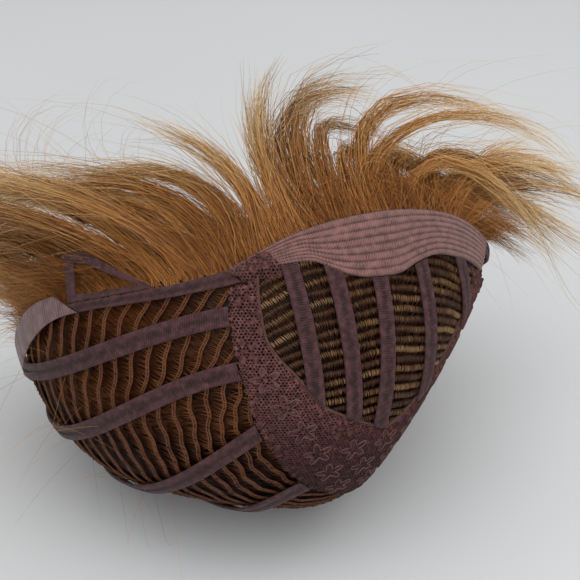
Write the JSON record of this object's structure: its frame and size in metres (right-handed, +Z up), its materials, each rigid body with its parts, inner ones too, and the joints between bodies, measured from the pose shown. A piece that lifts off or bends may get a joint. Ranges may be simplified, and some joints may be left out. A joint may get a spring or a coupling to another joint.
{
  "type": "wig",
  "caption": "Short layered wig turned inside out: a cap of sewn rows, ribbons, lace and a velvet front band lies like a bowl, and its hair spills out of the opening.",
  "frame": {"origin": "on the floor under the middle of the bounding box", "axes": "+Z up, +X along the longest side, the front of the cap toward -Y"},
  "size_m": [0.2804, 0.19, 0.1653],
  "materials": {
    "velvet": "soft napped velvet, stitched in rows",
    "lace": "open net with a leaf pattern",
    "ribbon": "woven ribbon, slight sheen",
    "elastic": "ribbed satin elastic",
    "weft": "sewn fibre row",
    "hair": "smooth fibre with a soft sheen"
  },
  "bodies": {
    "root": {"front_band": "velvet", "lace_band": "lace", "crown_strap_1": "ribbon", "crown_strap_2": "ribbon", "crown_strap_3": "ribbon", "crown_strap_4": "ribbon", "crown_strap_5": "ribbon", "left_strap_1": "ribbon", "left_strap_2": "ribbon", "left_strap_3": "ribbon", "left_strap_4": "ribbon", "right_strap_1": "ribbon", "right_strap_2": "ribbon", "right_strap_3": "ribbon", "right_strap_4": "ribbon", "crown_weft": "weft", "back_weft": "weft", "edge_ribbon_left": "ribbon", "edge_ribbon_right": "ribbon", "nape_elastic_left": "elastic", "nape_elastic_right": "elastic", "nape_ribbon": "ribbon", "ear_tab_left": "ribbon", "ear_tab_right": "ribbon", "hair_inner_crown": "hair", "hair_inner_left": "hair", "hair_inner_back_left": "hair", "hair_inner_back_right": "hair", "hair_inner_right": "hair", "hair_locks": "hair"}
  },
  "joints": []
}
